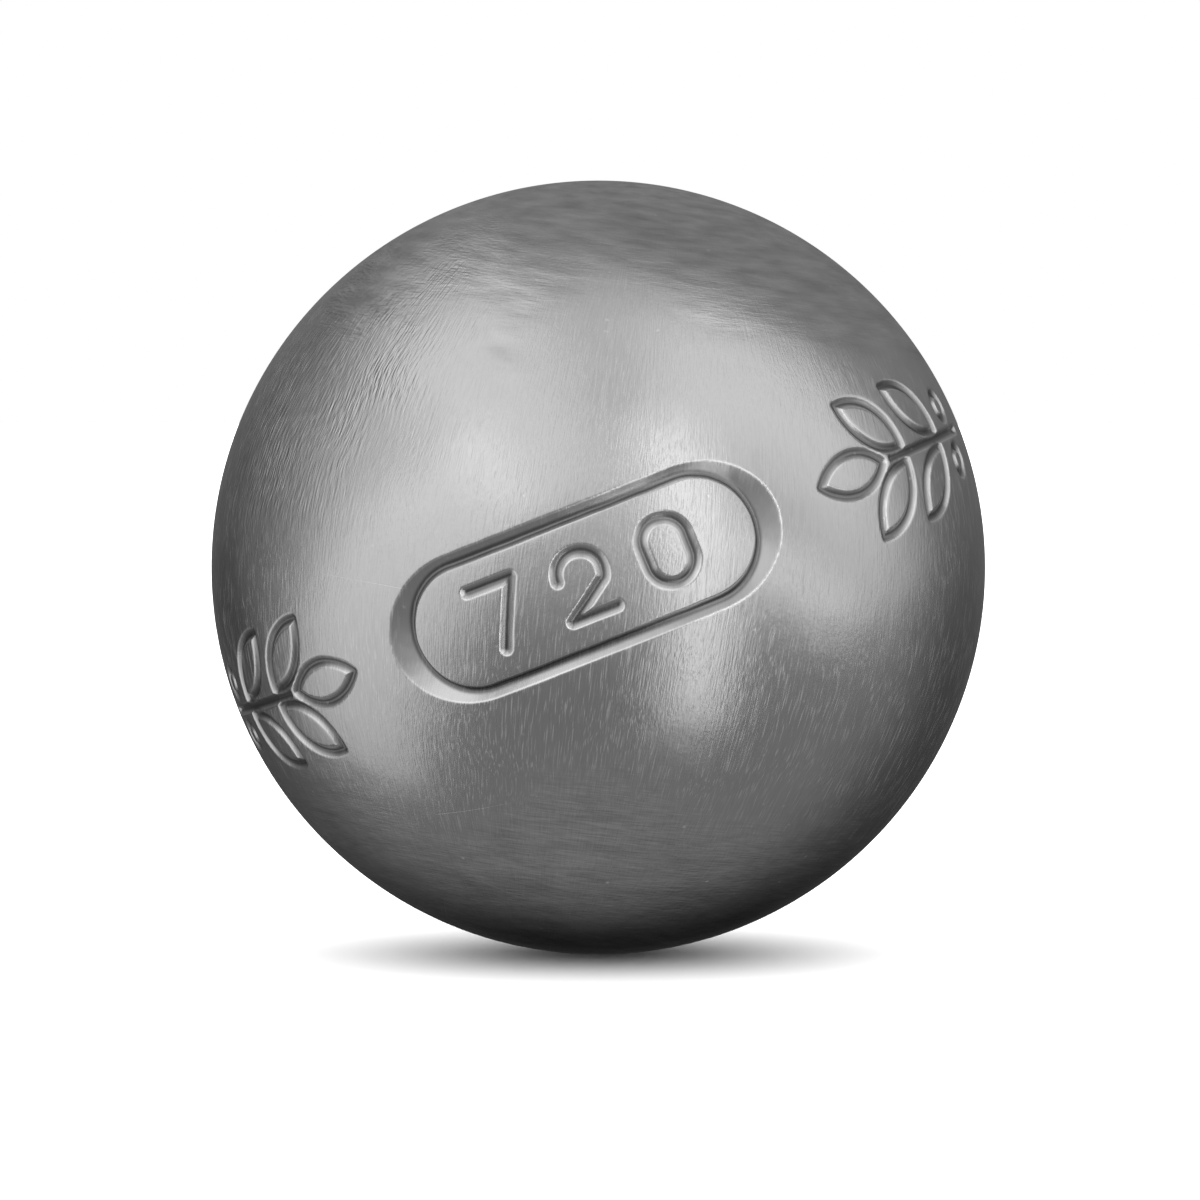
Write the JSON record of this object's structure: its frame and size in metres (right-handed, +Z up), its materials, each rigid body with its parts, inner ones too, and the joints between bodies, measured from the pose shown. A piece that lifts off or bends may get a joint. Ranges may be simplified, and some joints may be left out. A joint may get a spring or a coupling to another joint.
{
  "type": "petanque boule",
  "caption": "Hollow steel petanque boule: two welded half shells with a satin brushed finish, a stamped weight cartouche and leaf sprigs in a band round the ball.",
  "frame": {"origin": "centre of the ball", "axes": "+Z up as the ball lies, -Y the stamped front, Y square to the weld that joins the two halves"},
  "size_m": [0.074, 0.074, 0.074],
  "materials": {
    "shell_steel": "satin, brushed in several directions, with fine scratches",
    "weld_steel": "turned flush and brushed with the shells"
  },
  "bodies": {
    "root": {"front_half_shell": "shell_steel", "rear_half_shell": "shell_steel", "weld_bead": "weld_steel"}
  },
  "joints": []
}
